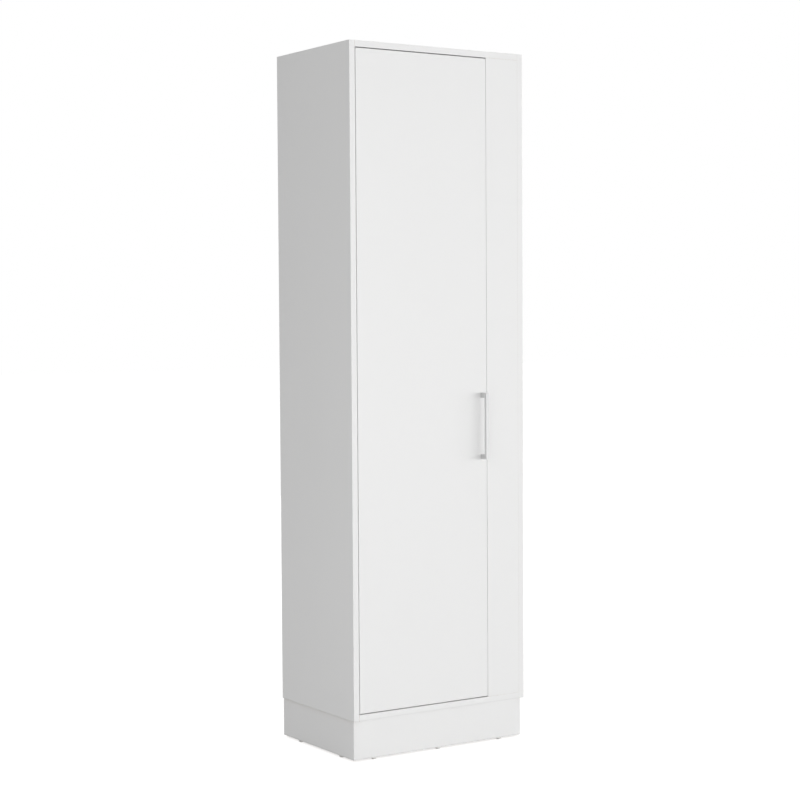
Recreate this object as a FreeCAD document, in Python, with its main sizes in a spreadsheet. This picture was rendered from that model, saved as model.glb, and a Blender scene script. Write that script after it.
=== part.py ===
"""A tall broom cupboard of white melamine-faced board, standing on a separate plinth.

One flush inset door hangs on four concealed cup hinges at the left, a fixed filler panel closes
the front at the right, and a shelf ties the sides together above the broom space.
Frame: millimetres, +Z up, front towards -Y, origin on the floor under the middle of the whole object.
"""
import FreeCAD, Part
import os
import re
import Sketcher

os.makedirs("parts", exist_ok=True)
doc = FreeCAD.newDocument("broom_cupboard")
Vector = FreeCAD.Vector

# Driving dimensions, one cell of the sheet each
SIZES = {
    # carcass boards
    "carcass_width": 530,
    "carcass_height": 1695,
    "side_depth": 362,
    "board": 16,
    "edge_round": 0.4,
    "back_thickness": 3,
    "back_inset": 2,
    "upper_space_height": 350,
    "shelf_setback": 40,
    # door, the gaps round it and the filler beside it
    "filler_width": 100.5,
    "door_thickness": 16,
    "door_hinge_gap": 2,
    "door_free_gap": 1.2,
    "door_end_gap": 2.5,
    # plinth and its nail-on glides
    "plinth_height": 100,
    "plinth_board": 16,
    "plinth_side_inset": 5,
    "plinth_front_setback": 10,
    "glide_height": 5,
    "glide_diameter": 14,
    "glide_sole": 10,
    "glide_rim": 1.5,
    "glide_nail": 2,
    "glide_nail_length": 15,
    "front_glide_end": 65,
    "side_glide_front": 71,
    "side_glide_rear": 79,
    # cam fittings and dowels that join the boards
    "bore_clearance": 0.1,
    "bore_spare": 0.5,
    "cam_diameter": 15,
    "cam_skin": 2.5,
    "cam_reach": 24,
    "cam_from_edge": 60,
    "filler_cam_end": 200,
    "bolt_thread": 5,
    "bolt_thread_length": 10.5,
    "bolt_shank": 6,
    "bolt_neck": 4,
    "bolt_neck_length": 4,
    "bolt_head": 6.6,
    "bolt_head_length": 3,
    "bolt_bore": 7.6,
    "dowel_diameter": 8,
    "dowel_length": 30,
    "dowel_seat": 10,
    "dowel_chamfer": 1,
    "dowel_from_cam": 32,
    "filler_dowel_edge": 25,
    "plinth_dowel_low": 30,
    "plinth_dowel_drop": 42,
    # nails of the back panel
    "nail_diameter": 1.6,
    "nail_length": 18,
    "nail_head": 4,
    "nail_head_height": 0.8,
    "nail_margin": 60,
    # corner blocks inside the plinth
    "block_size": 30,
    "block_seat": 9,
    "block_near": 8,
    "block_far": 22,
    "block_chamfer": 11,
    "block_screw": 4,
    "block_screw_length": 20,
    "block_screw_head": 7.5,
    # angle brackets for fixing to a wall
    "bracket_leg": 25,
    "bracket_width": 18,
    "bracket_thickness": 2,
    "bracket_hole_reach": 15,
    "bracket_screw": 4,
    "bracket_screw_length": 13,
    "wall_screw_bore": 6,
    "wall_bracket_inset": 69,
    # concealed hinges
    "hinge_end_distance": 100,
    "hinge_below_shelf": 225,
    "pivot_inset": 19,
    "pivot_depth": 8.5,
    "pin_diameter": 3,
    "pin_seat": 2,
    "pin_clearance": 0.05,
    "cup_diameter": 35,
    "cup_depth": 12,
    "cup_edge": 5,
    "cup_floor": 1.2,
    "cup_rim": 1.5,
    "cup_flange": 1.2,
    "cup_wall": 2.5,
    "cup_well": 17,
    "cup_relief": 1,
    "ear_spacing": 48,
    "ear_offset": 6,
    "ear_width": 12,
    "cup_screw": 3.5,
    "cup_screw_length": 11,
    "cup_screw_head": 7,
    "arm_strip": 4,
    "arm_strip_height": 13,
    "arm_eye": 6.4,
    "neck_side": 12.3,
    "neck_back": 9.6,
    "shoulder_side": 15.3,
    "shoulder_back": 21.5,
    "heel_back": 26.5,
    "arm_length": 52,
    "arm_width": 16,
    "arm_depth": 8.5,
    "arm_wall": 1.6,
    "arm_screw": 4,
    "arm_screw_length": 8,
    "arm_screw_head": 8,
    "arm_screw_front": 14,
    "arm_screw_rear": 40,
    "plate_thickness": 2,
    "plate_line": 52.5,
    "plate_screw_spacing": 32,
    "plate_wing": 12,
    "plate_foot": 14,
    "rail_width": 11,
    "rail_length": 40,
    "rail_setback": 7,
    "plate_screw": 5,
    "plate_screw_length": 13,
    "plate_screw_head": 9,
    # magnetic catch under the top and its strike plate on the door
    "catch_from_free_edge": 46,
    "catch_width": 27,
    "catch_length": 30,
    "catch_height": 16,
    "catch_ear_span": 56,
    "catch_ear_setback": 8,
    "catch_ear_length": 16,
    "catch_ear_thickness": 3,
    "catch_screw_spacing": 45,
    "catch_gap": 0.3,
    "magnet_width": 24,
    "magnet_height": 8,
    "magnet_length": 18,
    "magnet_drop": 10,
    "strike_width": 42,
    "strike_height": 10,
    "strike_thickness": 1.2,
    "strike_screw_spacing": 34,
    "small_screw": 3.5,
    "small_screw_length": 11,
    "small_screw_head": 6.5,
    # bar handle
    "handle_spacing": 160,
    "handle_post_height": 13,
    "handle_bar_width": 8,
    "handle_bar_depth": 9,
    "handle_projection": 26,
    "handle_from_edge": 15.8,
    "handle_centre_height": 833,
    "handle_round": 1,
    "handle_screw": 4,
    "handle_screw_length": 25,
    "handle_screw_head": 8,
    "handle_bore_depth": 13,
    # shared form of every screw head and point
    "head_height": 2.4,
    "screw_point": 3,
}
SIDE_NAIL_COUNT = 10

sheet = doc.addObject("Spreadsheet::Sheet", "Sizes")
for row, (name, value) in enumerate(SIZES.items(), 1):
    sheet.set(f"A{row}", name)
    sheet.set(f"B{row}", str(value))
    sheet.setAlias(f"B{row}", name)
doc.recompute()

# Places that several pieces share, as rules on the driving dimensions
LEFT = "(-carcass_width / 2)"
INNER_LEFT = f"({LEFT} + board)"
INNER_RIGHT = "(carcass_width / 2 - board)"
INNER_WIDTH = "(carcass_width - 2 * board)"
INNER_HEIGHT = "(carcass_height - 2 * board)"
CARCASS_DEPTH = "(side_depth + back_thickness)"
FRONT = f"((handle_projection - {CARCASS_DEPTH}) / 2)"
BASE = "(glide_height + plinth_height)"
TOP_RISE = "(carcass_height - board)"
SHELF_RISE = f"({TOP_RISE} - upper_space_height - board)"
DOOR_WIDTH = f"({INNER_WIDTH} - filler_width - door_hinge_gap - door_free_gap)"
DOOR_LEFT = f"({INNER_LEFT} + door_hinge_gap)"
DOOR_BASE = f"({BASE} + board + door_end_gap)"
DOOR_HEIGHT = f"({INNER_HEIGHT} - 2 * door_end_gap)"
CAM_ROWS = ("cam_from_edge", "(side_depth - cam_from_edge)")
DOWEL_ROWS = ("(cam_from_edge + dowel_from_cam)", "(side_depth - cam_from_edge - dowel_from_cam)")
TIERS = (("bottom_panel", "0", "0"), ("fixed_shelf", SHELF_RISE, "shelf_setback"),
         ("top_panel", TOP_RISE, "0"))
DOWEL_BORE = "(dowel_diameter + 2 * bore_clearance)"
DOWEL_SEAT_BORE = "(dowel_seat + bore_spare)"
DOWEL_END_BORE = "(dowel_length - dowel_seat + bore_spare)"
THREAD_BORE = "(bolt_thread + 2 * bore_clearance)"
CAM_BORE_DEPTH = "(board - cam_skin)"

pieces = []


def formula(rule):
    """Turn a rule on plain size names into an expression on the sheet's cells."""
    return re.sub(r"[a-z]\w*", lambda word: "Sizes." + word[0] if word[0] in SIZES else word[0], rule)


def bind(thing, setting, rule):
    thing.setExpression(setting, formula(rule))


def size(rule):
    """The value of a rule, in millimetres."""
    return float(sheet.evalExpression(rule))


def point(x, y, z):
    return Vector(size(x), size(y), size(z))


def place(thing, corner):
    for axis, rule in zip("xyz", corner):
        bind(thing, f"Placement.Base.{axis}", rule)


def named(thing, label):
    thing.Label = label
    pieces.append(thing)
    return thing


def new_body(label, corner):
    body = named(doc.addObject("PartDesign::Body", label), label)
    place(body, corner)
    return body


def hold(drawing, kind, *where_and_rule):
    """Add a sketch constraint whose value follows a rule."""
    *where, rule = where_and_rule
    index = drawing.addConstraint(Sketcher.Constraint(kind, *where, size(rule)))
    bind(drawing, f"Constraints[{index}]", rule)


def hold_point(drawing, part, end, x, y):
    hold(drawing, "DistanceX", -1, 1, part, end, x)
    hold(drawing, "DistanceY", -1, 1, part, end, y)


def polyline(drawing, corners, closed=True):
    """Straight lines through corners that are each held from the sketch's origin."""
    ends = [Vector(size(x), size(y), 0) for x, y in corners]
    stops = ends[1:] + ends[:1] if closed else ends[1:]
    lines = [drawing.addGeometry(Part.LineSegment(a, b), False) for a, b in zip(ends, stops)]
    followers = lines[1:] + lines[:1] if closed else lines[1:]
    for line, follower in zip(lines, followers):
        drawing.addConstraint(Sketcher.Constraint("Coincident", line, 2, follower, 1))
    for line, (x, y) in zip(lines, corners):
        hold_point(drawing, line, 1, x, y)
    if not closed:
        hold_point(drawing, lines[-1], 2, *corners[-1])


def polygon(*corners):
    return lambda drawing: polyline(drawing, corners)


def rectangle(x0, y0, x1, y1):
    return polygon((x0, y0), (x1, y0), (x1, y1), (x0, y1))


def circles(centres, diameter):
    def draw(drawing):
        for x, y in centres:
            centre = Vector(size(x), size(y), 0)
            ring = drawing.addGeometry(Part.Circle(centre, Vector(0, 0, 1), size(diameter) / 2), False)
            hold_point(drawing, ring, 3, x, y)
            hold(drawing, "Diameter", ring, diameter)
    return draw


def feature(body, kind, title, role, level, into, draw, length):
    """A Pad or Pocket from a sketch parallel to one of the body's own planes.

    level is the sketch's place along the plane's axis, and into is +1 or -1 along that axis.
    """
    drawing = body.newObject("Sketcher::SketchObject", f"{body.Name}_{title}_sketch")
    origin_plane = next(each for each in body.Origin.OriginFeatures if each.Role == role)
    drawing.AttachmentSupport = (origin_plane, [""])
    drawing.MapMode = "FlatFace"
    facing_back = role == "XZ_Plane"
    bind(drawing, "AttachmentOffset.Base.z", f"-({level})" if facing_back else level)
    draw(drawing)
    step = body.newObject(f"PartDesign::{kind}", f"{body.Name}_{title}")
    step.Profile = drawing
    bind(step, "Length", length)
    along_normal = (into > 0) != facing_back
    step.Reversed = along_normal if kind == "Pocket" else not along_normal
    return step


def drill(body, title, role, level, into, centres, diameter, depth):
    feature(body, "Pocket", title, role, level, into, circles(centres, diameter), depth)


def rounded_pad(label, role, across, up, thickness, radius, corner):
    """A cut board or bar: one rectangle, padded, with all its edges rounded."""
    body = new_body(label, corner)
    pad = feature(body, "Pad", "blank", role, "0", 1, rectangle("0", "0", across, up), thickness)
    edges = body.newObject("PartDesign::Fillet", f"{label}_edges")
    edges.Base = (pad, [f"Edge{number}" for number in range(1, 13)])
    bind(edges, "Radius", radius)
    return body


def board(label, role, across, up, thickness, corner):
    return rounded_pad(label, role, across, up, thickness, "edge_round", corner)


def turned(*profile):
    """A solid of revolution about Z from (radius, height) rules that start and end on the axis."""
    ring = [point(radius, "0", height) for radius, height in profile]
    return Part.Face(Part.makePolygon(ring + ring[:1])).revolve(Vector(), Vector(0, 0, 1), 360)


def screw(head, diameter, length):
    """A pan-head screw seated at z = 0, its shank along +Z."""
    return turned(("0", "-head_height"), (f"0.3 * {head}", "-head_height"), (f"{head} / 2", "-head_height / 3"),
                  (f"{head} / 2", "0"), (f"{diameter} / 2", "0"),
                  (f"{diameter} / 2", f"{length} - screw_point"), ("0", length))


def aimed(where, direction):
    """The place of a turned piece whose +Z points along a direction."""
    return FreeCAD.Placement(where, FreeCAD.Rotation(Vector(0, 0, 1), Vector(*direction)))


def group(label, solid, places):
    """Identical separate solids that share one node."""
    copies = []
    for where in places:
        copy = solid.copy()
        copy.Placement = where
        copies.append(copy)
    node = named(doc.addObject("Part::Feature", label), label)
    node.Shape = Part.Compound(copies)
    node.Placement = FreeCAD.Placement()


def spread(start, stop, count):
    """Rules for evenly spaced places from one rule to another."""
    return [f"({start} + {step} * ({stop} - ({start})) / {count - 1})" for step in range(count)]


# Side panels: full-height boards, bored on the inner face for bolts and dowels and nailed from behind
TIER_LEVELS = [f"({rise} + board / 2)" for _, rise, _ in TIERS]
SIDE_NAILS = spread("nail_margin", "(carcass_height - nail_margin)", SIDE_NAIL_COUNT)
NAIL_BORE = "(nail_diameter + 2 * bore_clearance)"
NAIL_EDGE_BORE = "(nail_length - back_thickness + bore_spare)"


def side_panel(label, corner_x, inner_face, into):
    body = board(label, "YZ_Plane", "side_depth", "carcass_height", "board", (corner_x, FRONT, BASE))
    bolts = [(row, level) for level in TIER_LEVELS for row in CAM_ROWS]
    dowels = [(row, level) for level in TIER_LEVELS for row in DOWEL_ROWS]
    drill(body, "bolts", "YZ_Plane", inner_face, into, bolts, THREAD_BORE, "bolt_thread_length + bore_spare")
    drill(body, "dowels", "YZ_Plane", inner_face, into, dowels, DOWEL_BORE, DOWEL_SEAT_BORE)
    nails = [("board / 2", level) for level in SIDE_NAILS]
    drill(body, "nails", "XZ_Plane", "side_depth", -1, nails, NAIL_BORE, NAIL_EDGE_BORE)
    return body


left_side = side_panel("left_side_panel", LEFT, "board", -1)
right_side = side_panel("right_side_panel", INNER_RIGHT, "0", 1)

FILLER_CAMS = spread("filler_cam_end", f"({INNER_HEIGHT} - filler_cam_end)", 3)
drill(right_side, "filler_bolts", "YZ_Plane", "0", 1,
      [("board / 2", f"{rise} + board") for rise in FILLER_CAMS],
      THREAD_BORE, "bolt_thread_length + bore_spare")

# Bottom, shelf and top: boards between the sides, with cams let into the underside at each end
TIER_NAILS = spread("nail_margin", f"({INNER_WIDTH} - nail_margin)", 3)


def tier(label, rise, setback):
    corner = (INNER_LEFT, f"{FRONT} + {setback}", f"{BASE} + {rise}")
    body = board(label, "XY_Plane", INNER_WIDTH, f"side_depth - {setback}", "board", corner)
    ends = (("left", "0", 1, "cam_reach"), ("right", INNER_WIDTH, -1, f"{INNER_WIDTH} - cam_reach"))
    for end, level, into, cam_x in ends:
        cams = [(cam_x, f"{row} - {setback}") for row in CAM_ROWS]
        bolts = [(f"{row} - {setback}", "board / 2") for row in CAM_ROWS]
        dowels = [(f"{row} - {setback}", "board / 2") for row in DOWEL_ROWS]
        drill(body, f"{end}_cams", "XY_Plane", "0", 1, cams, "cam_diameter + 2 * bore_clearance",
              CAM_BORE_DEPTH)
        drill(body, f"{end}_bolts", "YZ_Plane", level, into, bolts, "bolt_bore", "cam_reach")
        drill(body, f"{end}_dowels", "YZ_Plane", level, into, dowels, DOWEL_BORE, DOWEL_END_BORE)
    nails = [(x, "board / 2") for x in TIER_NAILS]
    drill(body, "nails", "XZ_Plane", f"side_depth - {setback}", -1, nails, NAIL_BORE, NAIL_EDGE_BORE)
    return body


tiers = {label: tier(label, rise, setback) for label, rise, setback in TIERS}

# Filler panel: fixed board that closes the front between the door and the right side
FILLER_LEFT = f"({INNER_RIGHT} - filler_width)"
FILLER_DOWELS = ("filler_dowel_edge", "(filler_width - filler_dowel_edge)")
filler = board("filler_panel", "XZ_Plane", "filler_width", INNER_HEIGHT, "board",
               (FILLER_LEFT, FRONT, f"{BASE} + board"))
filler_cams = [("filler_width - cam_reach", rise) for rise in FILLER_CAMS]
drill(filler, "cams", "XZ_Plane", "board", -1, filler_cams, "cam_diameter + 2 * bore_clearance",
      CAM_BORE_DEPTH)
drill(filler, "bolts", "YZ_Plane", "filler_width", -1, [("board / 2", rise) for rise in FILLER_CAMS],
      "bolt_bore", "cam_reach")
filler_dowels = [(x, "board / 2") for x in FILLER_DOWELS]
drill(filler, "low_dowels", "XY_Plane", "0", 1, filler_dowels, DOWEL_BORE, DOWEL_END_BORE)
drill(filler, "high_dowels", "XY_Plane", INNER_HEIGHT, -1, filler_dowels, DOWEL_BORE, DOWEL_END_BORE)
tier_filler_dowels = [(f"{FILLER_LEFT} - {INNER_LEFT} + {x}", "board / 2") for x in FILLER_DOWELS]
drill(tiers["bottom_panel"], "filler_dowels", "XY_Plane", "board", -1, tier_filler_dowels,
      DOWEL_BORE, DOWEL_SEAT_BORE)
drill(tiers["top_panel"], "filler_dowels", "XY_Plane", "0", 1, tier_filler_dowels,
      DOWEL_BORE, DOWEL_SEAT_BORE)

# Back panel: thin hardboard nailed over the back edges, nail heads sunk flush
BACK_LEFT = f"({LEFT} + back_inset)"
BACK_BASE = f"({BASE} + back_inset)"
back_nails = [(f"{x} - back_inset", f"{level} - back_inset")
              for x in ("board / 2", "carcass_width - board / 2") for level in SIDE_NAILS]
back_nails += [(f"{x} + board - back_inset", f"{level} - back_inset")
               for x in TIER_NAILS for level in TIER_LEVELS]
WALL_SCREWS = (f"({INNER_LEFT} + wall_bracket_inset)", f"({INNER_RIGHT} - wall_bracket_inset)")
WALL_SCREW_RISE = f"({TOP_RISE} - bracket_hole_reach)"
back = board("back_panel", "XZ_Plane", "carcass_width - 2 * back_inset", "carcass_height - 2 * back_inset",
             "back_thickness", (BACK_LEFT, f"{FRONT} + side_depth", BACK_BASE))
drill(back, "nails", "XZ_Plane", "0", 1, back_nails, NAIL_BORE, "back_thickness")
drill(back, "nail_heads", "XZ_Plane", "back_thickness", -1, back_nails, "nail_head + 2 * bore_clearance",
      "nail_head_height")
drill(back, "wall_screws", "XZ_Plane", "0", 1,
      [(f"{x} - {BACK_LEFT}", f"{WALL_SCREW_RISE} - back_inset") for x in WALL_SCREWS],
      "wall_screw_bore", "back_thickness")

nail = turned(("0", "0"), ("nail_head / 2", "0"), ("nail_head / 2", "nail_head_height"),
              ("nail_diameter / 2", "nail_head_height"), ("nail_diameter / 2", "nail_length - nail_diameter"),
              ("0", "nail_length"))
group("back_nails", nail,
      [aimed(point(f"{BACK_LEFT} + {x}", f"{FRONT} + {CARCASS_DEPTH}", f"{BACK_BASE} + {z}"), (0, -1, 0))
       for x, z in back_nails])

# Plinth: a frame of four boards and a centre brace, set in under the carcass
PLINTH_LEFT = f"({LEFT} + plinth_side_inset)"
PLINTH_WIDTH = "(carcass_width - 2 * plinth_side_inset)"
PLINTH_FRONT = f"({FRONT} + plinth_front_setback)"
PLINTH_REAR = f"({FRONT} + {CARCASS_DEPTH})"
RAIL_LENGTH = f"({PLINTH_REAR} - {PLINTH_FRONT} - 2 * plinth_board)"
INNER_FRONT = f"({PLINTH_FRONT} + plinth_board)"
BRACE_LEFT = "(-plinth_board / 2)"
GLIDE_BORE = "(glide_nail + 2 * bore_clearance)"
GLIDE_BORE_DEPTH = "(glide_nail_length + bore_spare)"
BLOCK_BORE = "(block_screw + 2 * bore_clearance)"
BLOCK_BORE_DEPTH = "(block_screw_length - block_seat + bore_spare)"
HIGH_SCREW = "(plinth_height - block_near)"
LOW_SCREW = "(plinth_height - block_far)"
LONG_GLIDES = ("front_glide_end", f"({PLINTH_WIDTH} / 2)", f"({PLINTH_WIDTH} - front_glide_end)")
SHORT_GLIDES = ("(side_glide_front - plinth_board)", f"({RAIL_LENGTH} - side_glide_rear + plinth_board)")
PLINTH_DOWEL_LEVELS = ("plinth_dowel_low", "(plinth_height - plinth_dowel_drop)")
CROSS_LINES = ("plinth_board / 2", f"{PLINTH_WIDTH} / 2", f"{PLINTH_WIDTH} - plinth_board / 2")


def long_plinth_board(label, corner_y, inner_face, into, left_screw, right_screw):
    """Front or rear board, the full width of the plinth."""
    corner = (PLINTH_LEFT, corner_y, "glide_height")
    body = board(label, "XZ_Plane", PLINTH_WIDTH, "plinth_height", "plinth_board", corner)
    drill(body, "glides", "XY_Plane", "0", 1, [(x, "plinth_board / 2") for x in LONG_GLIDES],
          GLIDE_BORE, GLIDE_BORE_DEPTH)
    drill(body, "dowels", "XZ_Plane", inner_face, into,
          [(x, level) for x in CROSS_LINES for level in PLINTH_DOWEL_LEVELS], DOWEL_BORE, DOWEL_SEAT_BORE)
    screws = [("plinth_board + block_far", left_screw),
              (f"{PLINTH_WIDTH} - plinth_board - block_far", right_screw)]
    drill(body, "block_screws", "XZ_Plane", inner_face, into, screws, BLOCK_BORE, BLOCK_BORE_DEPTH)


def cross_plinth_board(label, corner_x):
    """Board from the front to the rear of the plinth, dowelled at both ends."""
    corner = (corner_x, INNER_FRONT, "glide_height")
    body = board(label, "YZ_Plane", RAIL_LENGTH, "plinth_height", "plinth_board", corner)
    dowels = [("plinth_board / 2", level) for level in PLINTH_DOWEL_LEVELS]
    drill(body, "front_dowels", "XZ_Plane", "0", 1, dowels, DOWEL_BORE, DOWEL_END_BORE)
    drill(body, "rear_dowels", "XZ_Plane", RAIL_LENGTH, -1, dowels, DOWEL_BORE, DOWEL_END_BORE)
    return body


def side_plinth_board(label, corner_x, inner_face, into, front_screw, rear_screw):
    body = cross_plinth_board(label, corner_x)
    drill(body, "glides", "XY_Plane", "0", 1, [("plinth_board / 2", y) for y in SHORT_GLIDES],
          GLIDE_BORE, GLIDE_BORE_DEPTH)
    screws = [("block_far", front_screw), (f"{RAIL_LENGTH} - block_far", rear_screw)]
    drill(body, "block_screws", "YZ_Plane", inner_face, into, screws, BLOCK_BORE, BLOCK_BORE_DEPTH)


long_plinth_board("plinth_front_board", PLINTH_FRONT, "plinth_board", -1, LOW_SCREW, HIGH_SCREW)
long_plinth_board("plinth_rear_board", f"{PLINTH_REAR} - plinth_board", "0", 1, HIGH_SCREW, LOW_SCREW)
side_plinth_board("plinth_left_board", PLINTH_LEFT, "plinth_board", -1, HIGH_SCREW, LOW_SCREW)
side_plinth_board("plinth_right_board", f"{PLINTH_LEFT} + {PLINTH_WIDTH} - plinth_board", "0", 1,
                  LOW_SCREW, HIGH_SCREW)
cross_plinth_board("plinth_centre_brace", BRACE_LEFT)

# Corner blocks: moulded connectors that screw two plinth boards and the bottom panel together
PLINTH_INNER_LEFT = f"({PLINTH_LEFT} + plinth_board)"
PLINTH_INNER_RIGHT = f"({PLINTH_LEFT} + {PLINTH_WIDTH} - plinth_board)"
INNER_REAR = f"({INNER_FRONT} + {RAIL_LENGTH})"
BLOCK_CORNERS = ((PLINTH_INNER_LEFT, INNER_FRONT, 0), (PLINTH_INNER_RIGHT, INNER_FRONT, 90),
                 (PLINTH_INNER_RIGHT, INNER_REAR, 180), (PLINTH_INNER_LEFT, INNER_REAR, 270))
BLOCK_SCREWS = ((("block_seat", "block_far", "-block_near"), (-1, 0, 0)),
                (("block_far", "block_seat", "-block_far"), (0, -1, 0)),
                (("block_near", "block_near", "-block_seat"), (0, 0, 1)))


def corner_block():
    """A cube with one cut corner, bored and counterbored for three screws."""
    edge, cut = size("block_size"), size("block_size") - size("block_chamfer")
    outline = [Vector(*xy, -edge) for xy in ((0, 0), (edge, 0), (edge, cut), (cut, edge), (0, edge), (0, 0))]
    block = Part.Face(Part.makePolygon(outline)).extrude(Vector(0, 0, edge))
    for seat, direction in BLOCK_SCREWS:
        way = Vector(*direction)
        shank = Part.makeCylinder(size(BLOCK_BORE) / 2, edge, point(*seat), way)
        head = Part.makeCylinder(size("block_screw_head") / 2 + size("bore_spare"), edge, point(*seat), -way)
        block = block.cut(shank).cut(head)
    return block


block_places = [FreeCAD.Placement(point(x, y, BASE), FreeCAD.Rotation(Vector(0, 0, 1), turn))
                for x, y, turn in BLOCK_CORNERS]
group("plinth_corner_blocks", corner_block(), block_places)
group("plinth_block_screws", screw("block_screw_head", "block_screw", "block_screw_length"),
      [place_of_block.multiply(aimed(point(*seat), direction))
       for place_of_block in block_places for seat, direction in BLOCK_SCREWS])
block_near_screws = [(f"{PLINTH_LEFT} - {INNER_LEFT} + {x}", f"{INNER_FRONT} - {FRONT} + {y}")
                     for x in ("plinth_board + block_near", f"{PLINTH_WIDTH} - plinth_board - block_near")
                     for y in ("block_near", f"{RAIL_LENGTH} - block_near")]
drill(tiers["bottom_panel"], "block_screws", "XY_Plane", "0", 1, block_near_screws,
      BLOCK_BORE, BLOCK_BORE_DEPTH)

# Glides: plastic feet on nails, driven into the lower edges of the plinth boards
NAIL_TOP = "(glide_height + glide_nail_length)"
glide = turned(("0", "0"), ("glide_sole / 2", "0"), ("glide_diameter / 2", "glide_height - glide_rim"),
               ("glide_diameter / 2", "glide_height"), ("glide_nail / 2", "glide_height"),
               ("glide_nail / 2", f"{NAIL_TOP} - glide_nail"), ("0", NAIL_TOP))
glide_places = [(f"{PLINTH_LEFT} + {x}", f"{y} + plinth_board / 2") for x in LONG_GLIDES
                for y in (PLINTH_FRONT, f"({PLINTH_REAR} - plinth_board)")]
glide_places += [(f"{x} + plinth_board / 2", f"{INNER_FRONT} + {y}") for y in SHORT_GLIDES
                 for x in (PLINTH_LEFT, f"({PLINTH_LEFT} + {PLINTH_WIDTH} - plinth_board)")]
group("floor_glides", glide, [aimed(point(x, y, "0"), (0, 0, 1)) for x, y in glide_places])

# Cam locks, their bolts and the dowels of all the board joints
filler_bolts = [(INNER_RIGHT, f"{FRONT} + board / 2", f"{BASE} + board + {rise}") for rise in FILLER_CAMS]
tier_joints = [(f"{FRONT} + {row}", f"{BASE} + {rise}") for _, rise, _ in TIERS for row in CAM_ROWS]
tier_dowels = [(f"{FRONT} + {row}", f"{BASE} + {rise} + board / 2")
               for _, rise, _ in TIERS for row in DOWEL_ROWS]

cam_lock = Part.makeCylinder(size("cam_diameter") / 2, size(f"{CAM_BORE_DEPTH} - bore_spare"))
cam_lock = cam_lock.cut(Part.makeCylinder(size("bolt_bore") / 2, size("cam_diameter / 2 + bolt_head_length"),
                                          point("-cam_diameter / 2", "0", "board / 2"), Vector(1, 0, 0)))
turned_round = FreeCAD.Rotation(Vector(0, 0, 1), 180)
filler_turn = FreeCAD.Rotation(Vector(-1, 0, 0), Vector(0, 0, -1), Vector(0, -1, 0), "ZXY")
cam_places = [aimed(point(f"{INNER_LEFT} + cam_reach", y, z), (0, 0, 1)) for y, z in tier_joints]
cam_places += [FreeCAD.Placement(point(f"{INNER_RIGHT} - cam_reach", y, z), turned_round)
               for y, z in tier_joints]
cam_places += [FreeCAD.Placement(point(f"{x} - cam_reach", f"{FRONT} + board", z), filler_turn)
               for x, _, z in filler_bolts]
group("cam_locks", cam_lock, cam_places)

BOLT_HEAD = "(cam_reach - bolt_head_length / 2)"
BOLT_NECK = f"({BOLT_HEAD} - bolt_neck_length)"
BOLT_END = f"({BOLT_HEAD} + bolt_head_length)"
cam_bolt = turned(("0", "-bolt_thread_length"), ("bolt_thread / 2", "-bolt_thread_length"),
                  ("bolt_thread / 2", "0"), ("bolt_shank / 2", "0"), ("bolt_shank / 2", BOLT_NECK),
                  ("bolt_neck / 2", BOLT_NECK), ("bolt_neck / 2", BOLT_HEAD), ("bolt_head / 2", BOLT_HEAD),
                  ("bolt_head / 2", BOLT_END), ("0", BOLT_END))
bolt_places = [aimed(point(INNER_LEFT, y, f"{z} + board / 2"), (1, 0, 0)) for y, z in tier_joints]
bolt_places += [aimed(point(INNER_RIGHT, y, f"{z} + board / 2"), (-1, 0, 0)) for y, z in tier_joints]
bolt_places += [aimed(point(*where), (-1, 0, 0)) for where in filler_bolts]
group("cam_bolts", cam_bolt, bolt_places)

DOWEL_TIP = "(dowel_diameter / 2 - dowel_chamfer)"
dowel = turned(("0", "0"), (DOWEL_TIP, "0"), ("dowel_diameter / 2", "dowel_chamfer"),
               ("dowel_diameter / 2", "dowel_length - dowel_chamfer"), (DOWEL_TIP, "dowel_length"),
               ("0", "dowel_length"))
dowel_places = [aimed(point(f"{INNER_LEFT} - dowel_seat", y, z), (1, 0, 0)) for y, z in tier_dowels]
dowel_places += [aimed(point(f"{INNER_RIGHT} + dowel_seat", y, z), (-1, 0, 0)) for y, z in tier_dowels]
for x in FILLER_DOWELS:
    across, depth = f"{FILLER_LEFT} + {x}", f"{FRONT} + board / 2"
    dowel_places.append(aimed(point(across, depth, f"{BASE} + board - dowel_seat"), (0, 0, 1)))
    dowel_places.append(aimed(point(across, depth, f"{BASE} + {TOP_RISE} + dowel_seat"), (0, 0, -1)))
for x in CROSS_LINES:
    for level in PLINTH_DOWEL_LEVELS:
        across, height = f"{PLINTH_LEFT} + {x}", f"glide_height + {level}"
        dowel_places.append(aimed(point(across, f"{INNER_FRONT} - dowel_seat", height), (0, 1, 0)))
        dowel_places.append(aimed(point(across, f"{INNER_REAR} + dowel_seat", height), (0, -1, 0)))
group("wood_dowels", dowel, dowel_places)

# Wall brackets: folded steel angles in the top rear corner, with a hole through to the wall
for side, x in zip(("left", "right"), WALL_SCREWS):
    bracket = new_body(f"wall_bracket_{side}", (x, f"{FRONT} + side_depth", f"{BASE} + {TOP_RISE}"))
    angle = polygon(("0", "0"), ("0", "-bracket_leg"), ("-bracket_thickness", "-bracket_leg"),
                    ("-bracket_thickness", "-bracket_thickness"), ("-bracket_leg", "-bracket_thickness"),
                    ("-bracket_leg", "0"))
    feature(bracket, "Pad", "angle", "YZ_Plane", "-bracket_width / 2", 1, angle, "bracket_width")
    drill(bracket, "wall_hole", "XZ_Plane", "-bracket_thickness", 1, [("0", "-bracket_hole_reach")],
          "wall_screw_bore", "bracket_thickness")
    drill(bracket, "top_hole", "XY_Plane", "-bracket_thickness", 1, [("0", "-bracket_hole_reach")],
          "bracket_screw + 2 * bore_clearance", "bracket_thickness")
bracket_y, bracket_z = f"{FRONT} + side_depth - bracket_hole_reach", f"{BASE} + {TOP_RISE} - bracket_thickness"
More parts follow.
